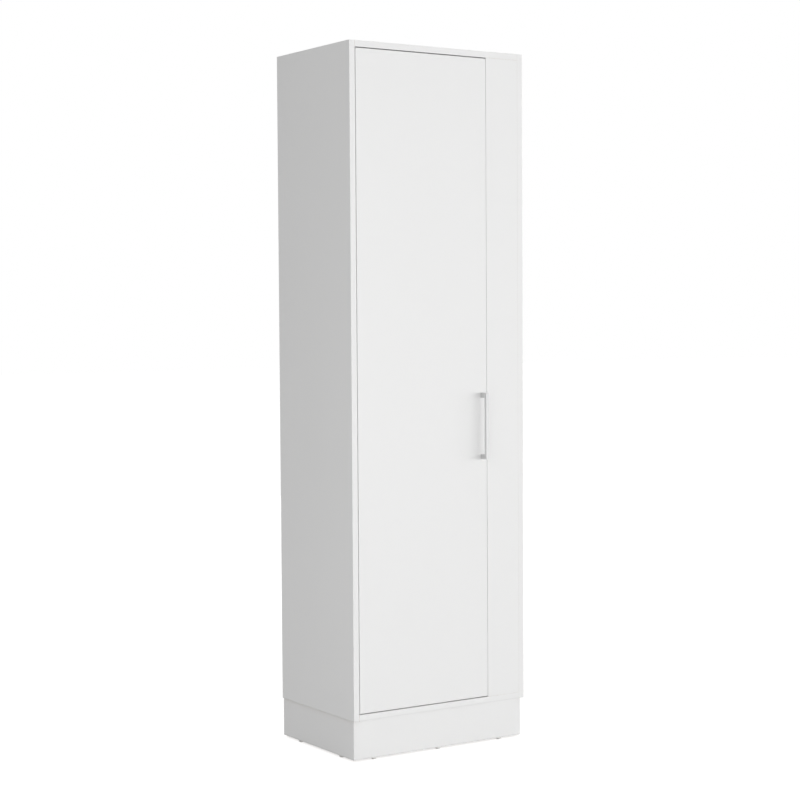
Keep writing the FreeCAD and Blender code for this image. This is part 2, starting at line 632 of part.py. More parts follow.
group("wall_bracket_screws", screw("small_screw_head", "bracket_screw", "bracket_screw_length"),
      [aimed(point(x, bracket_y, bracket_z), (0, 0, 1)) for x in WALL_SCREWS])
drill(tiers["top_panel"], "bracket_screws", "XY_Plane", "0", 1,
      [(f"{x} - {INNER_LEFT}", "side_depth - bracket_hole_reach") for x in WALL_SCREWS],
      "bracket_screw + 2 * bore_clearance", "bracket_screw_length - bracket_thickness + bore_spare")

# Door: one flush board, bored for the hinge cups and the handle
CUP_FROM_EDGE = "(cup_edge + cup_diameter / 2)"
EAR_FROM_EDGE = f"({CUP_FROM_EDGE} + ear_offset)"
THIRD_HINGE = f"({SHELF_RISE} - board - door_end_gap - hinge_below_shelf)"
HINGE_RISES = ("hinge_end_distance", f"((hinge_end_distance + {THIRD_HINGE}) / 2)", THIRD_HINGE,
               f"({DOOR_HEIGHT} - hinge_end_distance)")
HANDLE_X = f"({DOOR_WIDTH} - handle_from_edge)"
HANDLE_ENDS = [f"(handle_centre_height {sign} handle_spacing / 2 - {DOOR_BASE})" for sign in "+-"]
CATCH_X = f"({DOOR_WIDTH} - catch_from_free_edge)"
STRIKE_RISE = f"({DOOR_HEIGHT} + door_end_gap - magnet_drop)"
SMALL_BORE = "(small_screw + 2 * bore_clearance)"
STRIKE_SCREWS = [f"{sign}strike_screw_spacing / 2" for sign in "-+"]

door = board("door_panel", "XZ_Plane", DOOR_WIDTH, DOOR_HEIGHT, "door_thickness",
             (DOOR_LEFT, FRONT, DOOR_BASE))
drill(door, "cups", "XZ_Plane", "door_thickness", -1, [(CUP_FROM_EDGE, rise) for rise in HINGE_RISES],
      "cup_diameter + 2 * bore_clearance", "cup_depth + bore_clearance")
cup_screws = [(EAR_FROM_EDGE, f"{rise} {sign} ear_spacing / 2") for rise in HINGE_RISES for sign in "+-"]
drill(door, "cup_screws", "XZ_Plane", "door_thickness", -1, cup_screws, "cup_screw + 2 * bore_clearance",
      "cup_screw_length - cup_flange + bore_spare")
drill(door, "handle_holes", "XZ_Plane", "door_thickness", -1, [(HANDLE_X, rise) for rise in HANDLE_ENDS],
      "handle_screw + 4 * bore_clearance", "door_thickness")
drill(door, "strike_screws", "XZ_Plane", "door_thickness", -1,
      [(f"{CATCH_X} + {x}", STRIKE_RISE) for x in STRIKE_SCREWS], SMALL_BORE,
      "small_screw_length - strike_thickness + bore_spare")

# Handle: a square bar on two posts, screwed from inside the door
POST_LENGTH = "(handle_projection - handle_bar_depth)"
HANDLE_LEFT = f"({DOOR_LEFT} + {HANDLE_X} - handle_bar_width / 2)"
rounded_pad("handle_bar", "XZ_Plane", "handle_bar_width", "handle_spacing + handle_post_height",
            "handle_bar_depth", "handle_round", (HANDLE_LEFT, f"{FRONT} - handle_projection",
             "handle_centre_height - (handle_spacing + handle_post_height) / 2"))
for end, rise in zip(("upper", "lower"), HANDLE_ENDS):
    post = board(f"handle_{end}_post", "XZ_Plane", "handle_bar_width", "handle_post_height", POST_LENGTH,
                 (HANDLE_LEFT, f"{FRONT} - {POST_LENGTH}", f"{DOOR_BASE} + {rise} - handle_post_height / 2"))
    drill(post, "screw", "XZ_Plane", POST_LENGTH, -1, [("handle_bar_width / 2", "handle_post_height / 2")],
          "handle_screw + 2 * bore_clearance", "handle_bore_depth")
handle_screw_places = [point(f"{DOOR_LEFT} + {HANDLE_X}", f"{FRONT} + door_thickness", f"{DOOR_BASE} + {rise}")
                       for rise in HANDLE_ENDS]
group("handle_screws", screw("handle_screw_head", "handle_screw", "handle_screw_length"),
      [aimed(where, (0, -1, 0)) for where in handle_screw_places])

# Hinges, in a frame on the pivot: X to the right, Y into the cupboard, Z up
PIVOT_X = f"({DOOR_LEFT} + pivot_inset)"
PIVOT_Y = f"({FRONT} + pivot_depth)"
DOOR_FACE = "(door_thickness - pivot_depth)"
FLANGE_FACE = f"({DOOR_FACE} + cup_flange)"
CUP_X = f"({CUP_FROM_EDGE} - pivot_inset)"
EAR_X = f"({CUP_X} + ear_offset)"
WELL_LEFT = f"({CUP_X} - cup_diameter / 2 + cup_wall)"
WELL_RIGHT = f"({CUP_X} + cup_diameter / 2 - cup_wall)"
EAR_HOLES = [(EAR_X, f"{sign}ear_spacing / 2") for sign in "-+"]
PIN_HALF = "(cup_well / 2 + pin_seat)"
SIDE_FACE = "(-door_hinge_gap - pivot_inset)"
ARM_FRONT = "(heel_back - arm_strip / 2)"
ARM_OUTER = f"({SIDE_FACE} + plate_thickness + bore_spare + arm_depth)"
ARM_LINE = f"({ARM_OUTER} - arm_strip / 2)"
RAIL_FRONT = f"({ARM_FRONT} + rail_setback)"
RAIL_TOP = f"({ARM_OUTER} - arm_wall - bore_clearance)"
PLATE_LINE = "(plate_line - pivot_depth)"
ARM_SCREWS = [f"({ARM_FRONT} + {each})" for each in ("arm_screw_front", "arm_screw_rear")]
PLATE_SCREWS = [f"{sign}plate_screw_spacing / 2" for sign in "-+"]


def hinge_cup(label, corner):
    """Die-cast cup with a screw flange, a well for the arm and seats for the pin."""
    cup = new_body(label, corner)
    feature(cup, "Pad", "barrel", "XZ_Plane", f"{DOOR_FACE} - cup_depth", 1,
            circles([(CUP_X, "0")], "cup_diameter"), "cup_depth")
    feature(cup, "Pad", "rim", "XZ_Plane", DOOR_FACE, 1,
            circles([(CUP_X, "0")], "cup_diameter + 2 * cup_rim"), "cup_flange")
    ears = rectangle(f"{EAR_X} - ear_width / 2", "-ear_spacing / 2",
                     f"{EAR_X} + ear_width / 2", "ear_spacing / 2")
    feature(cup, "Pad", "ears", "XZ_Plane", DOOR_FACE, 1, ears, "cup_flange")
    feature(cup, "Pad", "ear_ends", "XZ_Plane", DOOR_FACE, 1, circles(EAR_HOLES, "ear_width"), "cup_flange")
    well = rectangle(WELL_LEFT, "-cup_well / 2", WELL_RIGHT, "cup_well / 2")
    feature(cup, "Pocket", "well", "XZ_Plane", FLANGE_FACE, -1, well, "cup_depth + cup_flange - cup_floor")
    relief = rectangle("-pivot_inset", "-cup_well / 2 - cup_relief", WELL_LEFT, "cup_well / 2 + cup_relief")
    feature(cup, "Pocket", "relief", "XZ_Plane", FLANGE_FACE, -1, relief, "cup_flange")
    drill(cup, "ear_holes", "XZ_Plane", FLANGE_FACE, -1, EAR_HOLES, "cup_screw + 2 * bore_clearance",
          "cup_flange")
    drill(cup, "pin_seat", "XY_Plane", f"-{PIN_HALF}", 1, [("0", "0")], "pin_diameter",
          f"{PIN_HALF} + cup_diameter / 2")


def hinge_arm(label, corner):
    """Cranked arm: a gooseneck that reaches into the cup from a channel on the mounting plate."""
    path = doc.addObject("Sketcher::SketchObject", f"{label}_path")
    polyline(path, [("0", "0"), ("neck_side", "neck_back"), ("shoulder_side", "shoulder_back"),
                    (ARM_LINE, "heel_back"), (ARM_LINE, "heel_back + arm_strip / 2")], closed=False)
    band = doc.addObject("Part::Offset2D", f"{label}_band")
    band.Source = path
    band.Mode = "Pipe"
    band.Fill = True
    bind(band, "Value", "arm_strip / 2")
    strip = doc.addObject("Part::Extrusion", f"{label}_strip")
    strip.Base = band
    strip.DirMode = "Custom"
    strip.Dir = Vector(0, 0, 1)
    strip.Solid = True
    eye = doc.addObject("Part::Cylinder", f"{label}_eye")
    bind(eye, "Radius", "arm_eye / 2")
    bind(eye, "Height", "arm_strip_height")
    bind(eye, "Placement.Base.z", "-arm_strip_height / 2")
    for way in ("LengthFwd", "LengthRev"):
        bind(strip, way, "arm_strip_height / 2")
    channel = doc.addObject("Part::Box", f"{label}_channel")
    hollow = doc.addObject("Part::Box", f"{label}_hollow")
    for block, wall, setback in ((channel, "0", "0"), (hollow, "arm_wall", "arm_wall")):
        bind(block, "Length", f"arm_depth - {wall}")
        bind(block, "Width", f"arm_length - {setback}")
        bind(block, "Height", f"arm_width - 2 * {wall}")
        place(block, (f"{ARM_OUTER} - arm_depth", f"{ARM_FRONT} + {setback}", f"{wall} - arm_width / 2"))
    shell = doc.addObject("Part::Cut", f"{label}_shell")
    shell.Base, shell.Tool = channel, hollow
    blank = doc.addObject("Part::MultiFuse", f"{label}_blank")
    blank.Shapes = [shell, strip, eye]
    blank.Refine = True
    bores = doc.addObject("Part::MultiFuse", f"{label}_bores")
    pin_bore = doc.addObject("Part::Cylinder", f"{label}_pin_bore")
    bind(pin_bore, "Radius", "pin_diameter / 2 + pin_clearance")
    bind(pin_bore, "Height", "arm_strip_height")
    bind(pin_bore, "Placement.Base.z", "-arm_strip_height / 2")
    cutters = [pin_bore]
    for number, along in enumerate(ARM_SCREWS):
        bore = doc.addObject("Part::Cylinder", f"{label}_screw_bore_{number}")
        bore.Placement = aimed(Vector(), (1, 0, 0))
        bind(bore, "Radius", "arm_screw / 2 + bore_clearance")
        bind(bore, "Height", "2 * arm_wall")
        place(bore, (f"{ARM_OUTER} - 2 * arm_wall + bore_spare", along, "0"))
        cutters.append(bore)
    bores.Shapes = cutters
    arm = named(doc.addObject("Part::Cut", label), label)
    arm.Base, arm.Tool = blank, bores
    place(arm, corner)


def hinge_plate(label, corner):
    """Winged mounting plate with the rail that the arm is clamped to."""
    plate = new_body(label, corner)
    wing_holes = [(PLATE_LINE, z) for z in PLATE_SCREWS]
    wings = rectangle(f"{PLATE_LINE} - plate_wing / 2", "-plate_screw_spacing / 2",
                      f"{PLATE_LINE} + plate_wing / 2", "plate_screw_spacing / 2")
    feature(plate, "Pad", "wings", "YZ_Plane", SIDE_FACE, 1, wings, "plate_thickness")
    feature(plate, "Pad", "wing_ends", "YZ_Plane", SIDE_FACE, 1, circles(wing_holes, "plate_wing"),
            "plate_thickness")
    for title, width, height in (("foot", "plate_foot", "plate_thickness"),
                                 ("rail", "rail_width", f"({RAIL_TOP} - {SIDE_FACE})")):
        strip = rectangle(RAIL_FRONT, f"-{width} / 2", f"{RAIL_FRONT} + rail_length", f"{width} / 2")
        feature(plate, "Pad", title, "YZ_Plane", SIDE_FACE, 1, strip, height)
    drill(plate, "wing_holes", "YZ_Plane", SIDE_FACE, 1, wing_holes, "plate_screw + 2 * bore_clearance",
          "plate_thickness")
    drill(plate, "arm_screw_holes", "YZ_Plane", RAIL_TOP, -1, [(along, "0") for along in ARM_SCREWS],
          "arm_screw + 2 * bore_clearance", "arm_screw_length - arm_wall")


hinge_places = [(PIVOT_X, PIVOT_Y, f"{DOOR_BASE} + {rise}") for rise in HINGE_RISES]
for number, corner in enumerate(hinge_places, 1):
    hinge_cup(f"hinge_{number}_cup", corner)
    hinge_arm(f"hinge_{number}_arm", corner)
    hinge_plate(f"hinge_{number}_plate", corner)


def at_hinges(*offsets):
    """The offsets, given from the pivot, at every hinge."""
    return [point(*corner) + point(*offset) for corner in hinge_places for offset in offsets]


pin = Part.makeCylinder(size("pin_diameter") / 2, 2 * size(PIN_HALF))
group("hinge_pins", pin, [aimed(where, (0, 0, 1)) for where in at_hinges(("0", "0", f"-{PIN_HALF}"))])
group("hinge_cup_screws", screw("cup_screw_head", "cup_screw", "cup_screw_length"),
      [aimed(where, (0, -1, 0))
       for where in at_hinges(*((EAR_X, FLANGE_FACE, f"{sign}ear_spacing / 2") for sign in "-+"))])
group("hinge_plate_screws", screw("plate_screw_head", "plate_screw", "plate_screw_length"),
      [aimed(where, (-1, 0, 0))
       for where in at_hinges(*((f"{SIDE_FACE} + plate_thickness", PLATE_LINE, z) for z in PLATE_SCREWS))])
group("hinge_arm_screws", screw("arm_screw_head", "arm_screw", "arm_screw_length"),
      [aimed(where, (-1, 0, 0)) for where in at_hinges(*((ARM_OUTER, along, "0") for along in ARM_SCREWS))])
side_plate_screws = [("plate_line", f"{DOOR_BASE} - {BASE} + {rise} + {z}") for rise in HINGE_RISES
                     for z in PLATE_SCREWS]
drill(left_side, "plate_screws", "YZ_Plane", "board", -1, side_plate_screws,
      "plate_screw + 2 * bore_clearance", "plate_screw_length - plate_thickness + bore_spare")

# Magnetic catch: housing and magnet under the top, strike plate on the back of the door
CATCH_FRONT = f"({FRONT} + door_thickness + strike_thickness + catch_gap)"
CATCH_PLACE = (f"{DOOR_LEFT} + {CATCH_X}", CATCH_FRONT, f"{BASE} + {TOP_RISE}")
CATCH_SCREWS = [f"{sign}catch_screw_spacing / 2" for sign in "-+"]
CATCH_SCREW_Y = "(catch_ear_setback + catch_ear_length / 2)"
MAGNET_HALF = "(magnet_width / 2 + bore_clearance)"
MAGNET_RISE = "(magnet_height / 2 + bore_clearance)"

housing = new_body("catch_housing", CATCH_PLACE)
feature(housing, "Pad", "case", "XY_Plane", "-catch_height", 1,
        rectangle("-catch_width / 2", "0", "catch_width / 2", "catch_length"), "catch_height")
ears = rectangle("-catch_ear_span / 2", "catch_ear_setback", "catch_ear_span / 2",
                 "catch_ear_setback + catch_ear_length")
feature(housing, "Pad", "ears", "XY_Plane", "-catch_ear_thickness", 1, ears, "catch_ear_thickness")
slot = rectangle(f"-{MAGNET_HALF}", f"-magnet_drop - {MAGNET_RISE}",
                 MAGNET_HALF, f"-magnet_drop + {MAGNET_RISE}")
feature(housing, "Pocket", "magnet_slot", "XZ_Plane", "0", 1, slot, "magnet_length")
drill(housing, "screw_holes", "XY_Plane", "-catch_ear_thickness", 1,
      [(x, CATCH_SCREW_Y) for x in CATCH_SCREWS], SMALL_BORE, "catch_ear_thickness")

magnet = new_body("catch_magnet", CATCH_PLACE)
bar = rectangle("-magnet_width / 2", "-magnet_drop - magnet_height / 2", "magnet_width / 2",
                "-magnet_drop + magnet_height / 2")
feature(magnet, "Pad", "bar", "XZ_Plane", "0", 1, bar, "magnet_length")

strike = new_body("strike_plate", (f"{DOOR_LEFT} + {CATCH_X}", f"{FRONT} + door_thickness",
                                   f"{DOOR_BASE} + {STRIKE_RISE}"))
blank = rectangle("-strike_width / 2", "-strike_height / 2", "strike_width / 2", "strike_height / 2")
feature(strike, "Pad", "blank", "XZ_Plane", "0", 1, blank, "strike_thickness")
drill(strike, "screw_holes", "XZ_Plane", "0", 1, [(x, "0") for x in STRIKE_SCREWS], SMALL_BORE,
      "strike_thickness")

small = screw("small_screw_head", "small_screw", "small_screw_length")
group("catch_screws", small,
      [aimed(point(*CATCH_PLACE) + point(x, CATCH_SCREW_Y, "-catch_ear_thickness"), (0, 0, 1))
       for x in CATCH_SCREWS])
group("strike_screws", small,
      [aimed(point(f"{DOOR_LEFT} + {CATCH_X} + {x}", f"{FRONT} + door_thickness + strike_thickness",
                   f"{DOOR_BASE} + {STRIKE_RISE}"), (0, -1, 0)) for x in STRIKE_SCREWS])
catch_bores = [(f"{DOOR_LEFT} + {CATCH_X} - {INNER_LEFT} + {x}", f"{CATCH_FRONT} - {FRONT} + {CATCH_SCREW_Y}")
               for x in CATCH_SCREWS]
drill(tiers["top_panel"], "catch_screws", "XY_Plane", "0", 1, catch_bores, SMALL_BORE,
      "small_screw_length - catch_ear_thickness + bore_spare")

# Every feature has to work and every cut has to take material away before anything is written
doc.recompute()
for thing in doc.Objects:
    if {"Invalid", "Error"} & set(thing.State):
        raise RuntimeError(f"{thing.Name} failed: {thing.State}")
    if thing.TypeId == "PartDesign::Pocket" and thing.Shape.Volume >= thing.BaseFeature.Shape.Volume:
        raise RuntimeError(f"{thing.Name} cuts nothing")
for piece in pieces:
    if piece.Shape.isNull() or not piece.Shape.isValid():
        raise RuntimeError(f"{piece.Label} has no valid shape")
for piece in pieces:
    piece.Shape.exportStep(f"parts/{piece.Label}.step")
print(len(pieces), "sub-parts,", sum(len(piece.Shape.Solids) for piece in pieces), "solids")
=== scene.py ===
"""The looks of a tall white broom cupboard, dressed over its packed construction.

Metres, +Z up, front towards -Y, origin on the floor under the middle of the cupboard.
"""
import math

import bmesh
import bpy
from mathutils import Matrix, Vector


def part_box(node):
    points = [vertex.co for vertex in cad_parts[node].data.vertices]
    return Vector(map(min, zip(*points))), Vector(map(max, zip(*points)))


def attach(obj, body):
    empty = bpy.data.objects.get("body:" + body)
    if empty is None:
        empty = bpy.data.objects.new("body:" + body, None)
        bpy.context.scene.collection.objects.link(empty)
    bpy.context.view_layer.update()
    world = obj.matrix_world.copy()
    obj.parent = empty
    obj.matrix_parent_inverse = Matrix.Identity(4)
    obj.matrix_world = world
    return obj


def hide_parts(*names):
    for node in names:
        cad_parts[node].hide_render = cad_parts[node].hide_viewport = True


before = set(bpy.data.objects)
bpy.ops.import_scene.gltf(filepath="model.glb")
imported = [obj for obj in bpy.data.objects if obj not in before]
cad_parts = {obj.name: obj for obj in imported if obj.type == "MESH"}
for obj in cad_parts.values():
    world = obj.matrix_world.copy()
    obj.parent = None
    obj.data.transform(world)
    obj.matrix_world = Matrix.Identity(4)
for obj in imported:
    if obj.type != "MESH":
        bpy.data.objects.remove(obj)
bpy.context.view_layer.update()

# Plinth boards: four boards and a middle brace of 16 mm chipboard, faced in white melamine and doweled
# into a frame that carries the carcass. Visible edges are banded to match; the lower edges stay bare.


class Wire:
    """A socket in a node tree. Arithmetic on wires adds Math nodes, or Vector Math for a vector."""

    def __init__(self, tree, socket=None):
        self.tree = tree
        self.socket = socket

    def node(self, kind, settings=None, sockets=None, output=0):
        """Adds a node of that kind: its settings first, then the values or wires of its sockets."""
        made = self.tree.nodes.new(kind)
        for name, value in (settings or {}).items():
            setattr(made, name, value)
        for name, value in (sockets or {}).items():
            self.fill(self.find(made.inputs, name), value)
        return Wire(self.tree, self.find(made.outputs, output))

    @staticmethod
    def find(sockets, name):
        """The socket at that place in the row, or the first enabled one of that name."""
        if isinstance(name, int):
            return sockets[name]
        return next(socket for socket in sockets if socket.enabled and socket.name == name)

    def fill(self, socket, value):
        """Sets a socket's value, or links it to a wire or to each wire of a list."""
        for each in value if isinstance(value, list) else [value]:
            if isinstance(each, Wire):
                self.tree.links.new(each.socket, socket)
            elif socket.type == "RGBA":
                socket.default_value = (*each, 1)
            elif socket.type == "VECTOR" and isinstance(each, (int, float)):
                socket.default_value = (each, each, each)
            else:
                socket.default_value = each

    def feed(self, node, name):
        self.tree.links.new(self.socket, node.inputs[name])

    @staticmethod
    def is_vector(value):
        if isinstance(value, Wire):
            return value.socket.type in ("VECTOR", "RGBA")
        return isinstance(value, tuple)

    def maths(self, operation, first, second=0.0):
        wide = self.is_vector(first) or self.is_vector(second)
        kind = "ShaderNodeVectorMath" if wide else "ShaderNodeMath"
        return self.node(kind, {"operation": operation}, {0: first, 1: second})

    def __add__(self, other):
        return self.maths("ADD", self, other)

    def __radd__(self, other):
        return self.maths("ADD", other, self)

    def __sub__(self, other):
        return self.maths("SUBTRACT", self, other)

    def __rsub__(self, other):
        return self.maths("SUBTRACT", other, self)

    def __mul__(self, other):
        return self.maths("MULTIPLY", self, other)

    def __rmul__(self, other):
        return self.maths("MULTIPLY", other, self)

    def __abs__(self):
        return self.maths("ABSOLUTE", self)

    def least(self, other):
        return self.maths("MINIMUM", self, other)

    def most(self, other):
        return self.maths("MAXIMUM", self, other)

    def fade(self, low, high):
        """0 below low, 1 above high, smooth between."""
        return self.node("ShaderNodeMapRange", {"interpolation_type": "SMOOTHSTEP"},
                         {"Value": self, "From Min": low, "From Max": high})

    def mix(self, off, on):
        """The colour off where this is 0, on where it is 1."""
        return self.node("ShaderNodeMix", {"data_type": "RGBA"}, {"Factor": self, "A": off, "B": on},
                         "Result")

    def noise(self, scale, detail=2.0, roughness=0.5):
        return self.node("ShaderNodeTexNoise", {},
                         {"Vector": self, "Scale": scale, "Detail": detail, "Roughness": roughness})

    def axes(self):
        """The X, Y and Z of a vector, as three wires."""
        first = self.node("ShaderNodeSeparateXYZ", {}, {0: self})
        return [Wire(self.tree, output) for output in first.socket.node.outputs]


def finish(name, **constants):
    """A new material, its shader with the values that are the same all over, and the point's own place."""
    material = bpy.data.materials.new(name)
    material.use_nodes = True
    shader = material.node_tree.nodes["Principled BSDF"]
    for title, value in constants.items():
        shader.inputs[title].default_value = value
    return material, shader, Wire(material.node_tree).node("ShaderNodeTexCoord", output="Object")


def relief(shader, height, depth, strength):
    """Raises the surface by the height, which runs from 0 to 1, times a depth in metres."""
    bump = height.node("ShaderNodeBump", {}, {"Height": height, "Distance": depth, "Strength": strength})
    bump.feed(shader, "Normal")


def melamine(node, *bare_edges, painted_shade=0.0):
    """White facing with a fine pearl and banded edges, and chips that show in bores and on bare edges.

    A bare edge is an axis, then 0 for its low end or 1 for its high end.
    Painted shade is the share of white taken from the lowest few millimetres: a painted contact shade
    along the lower edge, standing in for the shade where the board meets or overhangs what is below it.
    """
    white = (0.865, 0.865, 0.862)
    chip_pale = (0.64, 0.50, 0.34)
    chip_dark = (0.36, 0.25, 0.15)
    skin = 0.0006
    band = 0.0009
    tall_board = 0.2
    material, shader, place = finish(f"melamine_{node}")
    low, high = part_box(node)
    along = place.axes()
    depth = [(along[axis] - low[axis]).least(high[axis] - along[axis]) for axis in range(3)]
    nearest = depth[0].least(depth[1])
    # On a face, the middle one of the three depths is the way to the nearest edge.
    to_edge = nearest.most(depth[0].most(depth[1]).least(depth[2]))
    core = nearest.least(depth[2]).fade(skin, skin * 1.2)
    for axis, end in bare_edges:
        core = core.most(1 - abs(along[axis] - (low, high)[end][axis]).fade(0.0001, 0.0003))

    grain = (place * (1, 1, 0.6) if high.z - low.z > tall_board else place).noise(420, 4, 0.65)
    chips = grain.fade(0.32, 0.68).mix(chip_dark, chip_pale)
    joint = 1 - abs(to_edge - band).fade(0.00004, 0.00012)
    handled = 1 - to_edge.fade(0.0, 0.003)
    clouds = place.noise(5.5, 3)
    tone = 1.006 - 0.012 * clouds - 0.06 * joint - 0.004 * handled
    # Painted shade: the lowest few millimetres are darkened to stand in for the contact shade below the
    # board.
    if painted_shade:
        foot = 1 - (along[2] - low.z).fade(0.001, 0.004)
        tone = tone - painted_shade * foot
    core.mix(tone * white, chips).feed(shader, "Base Color")
    wiped = (place * (14, 14, 3)).noise(1.0, 3, 0.6)
    (0.36 + 0.12 * wiped + 0.05 * handled + 0.4 * core).feed(shader, "Roughness")
    pearl = place.noise(1100, 2)
    relief(shader, pearl * (1 - core) - 0.8 * joint + 6 * core * grain, depth=0.00003, strength=0.6)
    return material


def dress(node, material):
    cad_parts[node].material_slots[0].material = material


lower_edge = (2, 0)
for board in ("plinth_front_board", "plinth_rear_board", "plinth_left_board", "plinth_right_board",
              "plinth_centre_brace"):
    # The plinth boards get painted contact shade along their lowest few millimetres, where they meet the
    # floor.
    dress(board, melamine(board, lower_edge, painted_shade=0.08))

# Corner blocks: four moulded white plastic angles inside the plinth, each with three zinc-plated screws.
# Two screws hold the boards together and the third goes up into the bottom panel.

plastic_white = (0.80, 0.80, 0.785)
plastic, shader, place = finish("moulded_white_plastic", IOR=1.46)
spark = place.noise(2400, 3, 0.6)
flow = place.noise(70, 2)
((0.975 + 0.04 * flow) * plastic_white).feed(shader, "Base Color")
(0.38 + 0.16 * spark).feed(shader, "Roughness")
relief(shader, spark, depth=0.00004, strength=0.5)

zinc_blue = (0.66, 0.67, 0.69)
zinc_pale = (0.72, 0.72, 0.71)
plated, shader, place = finish("zinc_plated_steel", Metallic=1.0)
passivation = place.noise(160, 3)
drawn = (place * (1, 1, 0.15)).noise(1800, 3, 0.6)
passivation.fade(0.3, 0.7).mix(zinc_blue, zinc_pale).feed(shader, "Base Color")
(0.24 + 0.14 * drawn + 0.08 * passivation).feed(shader, "Roughness")
relief(shader, drawn, depth=0.00002, strength=0.4)


def settle(name, mesh, body, slot, *nodes):
    """A finished piece from a mesh that is already in place, riding on its body instead of the nodes."""
    mesh.shade_smooth()
    mesh.set_sharp_from_angle(angle=math.radians(32))
    piece = bpy.data.objects.new(name, mesh)
    bpy.context.scene.collection.objects.link(piece)
    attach(piece, body)
    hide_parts(*nodes)


def softened(node, material, width, shortest=0.0):
    """A merged copy of a node's mesh in that material, its sharp edges rounded if they are long enough."""
    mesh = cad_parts[node].data.copy()
    mesh.materials[0] = material
    work = bmesh.new()
    work.from_mesh(mesh)
    bmesh.ops.remove_doubles(work, verts=work.verts, dist=1e-6)
    bmesh.ops.dissolve_limit(work, angle_limit=math.radians(0.5), verts=work.verts, edges=work.edges)
    sharp = [edge for edge in work.edges if edge.is_manifold and edge.calc_face_angle() > math.radians(30)
             and edge.calc_length() > shortest]
    bmesh.ops.bevel(work, geom=sharp, offset=width, offset_type="OFFSET", segments=2, profile=0.5,
                    affect="EDGES", clamp_overlap=False)
    work.to_mesh(mesh)
    work.free()
    return mesh


def tree_of(name, *sizes):
    """A tree that takes points, named sizes and a material, and the wires of those inputs."""
    tree = bpy.data.node_groups.new(name, "GeometryNodeTree")
    tree.interface.new_socket("Points", in_out="INPUT", socket_type="NodeSocketGeometry")
    tree.interface.new_socket("Mesh", in_out="OUTPUT", socket_type="NodeSocketGeometry")
    tree.interface.new_socket("Material", in_out="INPUT", socket_type="NodeSocketMaterial")
    for size in sizes:
        tree.interface.new_socket(size, in_out="INPUT", socket_type="NodeSocketFloat")
    entry = tree.nodes.new("NodeGroupInput")
    return {socket.name: Wire(tree, socket) for socket in entry.outputs if socket.name}


def turned(start, rows, sides):
    """A closed turned shape about Z from rows of radius and height, the height never falling."""
    rings = []
    for (radius, height), (next_radius, next_height) in zip(rows, rows[1:]):
        ring = start.node("GeometryNodeMeshCone", {"fill_type": "NONE"},
                          {"Vertices": sides, "Radius Bottom": radius, "Radius Top": next_radius,
                           "Depth": next_height - height}, "Mesh")
        lift = start.node("ShaderNodeCombineXYZ", {}, {"Z": height})
        rings.append(start.node("GeometryNodeTransform", {}, {"Geometry": ring, "Translation": lift}))
    joined = start.node("GeometryNodeJoinGeometry", {}, {"Geometry": rings})
    return start.node("GeometryNodeMergeByDistance", {}, {"Geometry": joined, "Distance": 2e-6})


def carved(shape, *cutters):
    """The shape less each cutter."""
    for cutter in cutters:
        shape = shape.node("GeometryNodeMeshBoolean", {"operation": "DIFFERENCE", "solver": "EXACT"},
                           {"Mesh 1": shape, "Mesh 2": cutter}, "Mesh")
    return shape


def cross_cutters(start, length, width, depth, height):
    """Two crossed boxes of that depth, their middles at that height on the axis."""
    lift = start.node("ShaderNodeCombineXYZ", {}, {"Z": height})
    cutters = []
    for across, over in ((length, width), (width, length)):
        extent = start.node("ShaderNodeCombineXYZ", {}, {"X": across, "Y": over, "Z": depth})
        box = start.node("GeometryNodeMeshCube", {}, {"Size": extent}, "Mesh")
        cutters.append(start.node("GeometryNodeTransform", {}, {"Geometry": box, "Translation": lift}))
    return cutters


def strewn(inlet, shape, spin=0.0):
    """Puts the shape at every point, its Z along the point's aim, turned by chance up to the spin."""
    start = inlet["Points"]
    aim, side = (start.node("GeometryNodeInputNamedAttribute", {"data_type": "FLOAT_VECTOR"},
                            {"Name": title}, "Attribute") for title in ("aim", "side"))
    upright = start.node("FunctionNodeAlignRotationToVector", {"axis": "Z"}, {"Vector": aim})
    facing = start.node("FunctionNodeAlignRotationToVector", {"axis": "X", "pivot_axis": "Z"},
                        {"Rotation": upright, "Vector": side})
    chance = start.node("FunctionNodeRandomValue", {"data_type": "FLOAT"}, {"Max": spin, "Seed": 7},
                        "Value")
    twist = start.node("FunctionNodeAxisAngleToRotation", {}, {"Axis": (0, 0, 1), "Angle": chance})
    turn = start.node("FunctionNodeRotateRotation", {"rotation_space": "LOCAL"},
                      {"Rotation": facing, "Rotate By": twist})
    copies = start.node("GeometryNodeInstanceOnPoints", {},
                        {"Points": start, "Instance": shape, "Rotation": turn})
    real = start.node("GeometryNodeRealizeInstances", {}, {"Geometry": copies})
    done = start.node("GeometryNodeSetMaterial", {}, {"Geometry": real, "Material": inlet["Material"]})
    done.feed(start.tree.nodes.new("NodeGroupOutput"), "Mesh")
    return start.tree


def grown(tree, places, material, sizes):
    """A plain mesh from a tree run on places, each a point, an aim and, where it matters, a side."""
    seats = bpy.data.meshes.new(tree.name)
    seats.from_pydata([place[0] for place in places], [], [])
    for column, title in ((1, "aim"), (2, "side")):
        direction = seats.attributes.new(title, "FLOAT_VECTOR", "POINT")
        for entry, place in zip(direction.data, places):
            entry.vector = place[column] if len(place) > column else Vector(place[1]).orthogonal()
    holder = bpy.data.objects.new(tree.name, seats)
    bpy.context.scene.collection.objects.link(holder)
    modifier = holder.modifiers.new(tree.name, "NODES")
    modifier.node_group = tree
    values = {"Material": material, **sizes}
    for socket in tree.interface.items_tree:
        if socket.in_out == "INPUT" and socket.name in values:
            modifier[socket.identifier] = values[socket.name]
    mesh = bpy.data.meshes.new_from_object(holder.evaluated_get(bpy.context.evaluated_depsgraph_get()))
    holder.modifiers.remove(modifier)
    bpy.data.objects.remove(holder)
    return mesh


